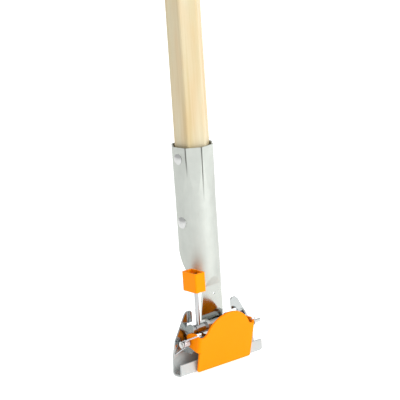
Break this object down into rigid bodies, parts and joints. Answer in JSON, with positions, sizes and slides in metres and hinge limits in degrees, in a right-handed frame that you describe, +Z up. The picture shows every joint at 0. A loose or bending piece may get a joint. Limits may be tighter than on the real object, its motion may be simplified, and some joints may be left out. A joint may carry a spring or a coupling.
{
  "type": "long-handled floor tool with spring clamp head",
  "caption": "Wooden-handled floor tool: steel socket on a folded clamp frame, spring-closed hinged jaw opened by a thumb lever.",
  "frame": {"origin": "centre of the flat underside of the clamp frame's trough, which is the part's lowest face", "axes": "+Z up along the handle, -Y the front where the hinged jaw stands, +X across the jaw to the right of someone who faces its front"},
  "size_m": [0.0953, 0.0537, 1.22],
  "materials": {
    "wood": "pale fine-grained wood, lightly waxed",
    "galvanised_sheet": "bright zinc-plated sheet",
    "rivet_steel": "bright",
    "spring_wire": "drawn wire",
    "bright_bar": "bright drawn bar",
    "orange_paint": "smooth powder coat",
    "orange_plastic": "smooth moulded"
  },
  "bodies": {
    "frame": {"wooden_handle": "wood", "socket_shell": "galvanised_sheet", "socket_rivets": "rivet_steel", "clamp_frame": "galvanised_sheet", "tongue_rivets": "rivet_steel", "jaw_pin": "rivet_steel", "jaw_pin_retainers": "rivet_steel", "jaw_washers": "rivet_steel", "spring_left": "spring_wire", "spring_right": "spring_wire", "spindle": "rivet_steel", "spindle_spacers": "rivet_steel"},
    "jaw": {"jaw": "orange_paint"},
    "lever": {"lever_sleeve": "bright_bar", "lever_bar": "bright_bar", "opening_fingers": "galvanised_sheet", "grip": "orange_plastic", "grip_pin": "rivet_steel"}
  },
  "joints": [
    {"name": "jaw_hinge", "type": "hinge", "parent": "frame", "child": "jaw", "pos_m": [0, -0.0017, 0.027], "axis": [-1, 0, 0], "range_deg": [0, 22], "stiffness_Nm_per_rad": 0.6, "springref_deg": -28.65, "deforming": ["spring_left", "spring_right"]},
    {"name": "lever_hinge", "type": "hinge", "parent": "frame", "child": "lever", "pos_m": [0, -0.0017, 0.0365], "axis": [-1, 0, 0], "range_deg": [0, 13]}
  ],
  "couplings": [
    {"joint": "lever_hinge", "follows": "jaw_hinge", "ratio": 0.585}
  ]
}
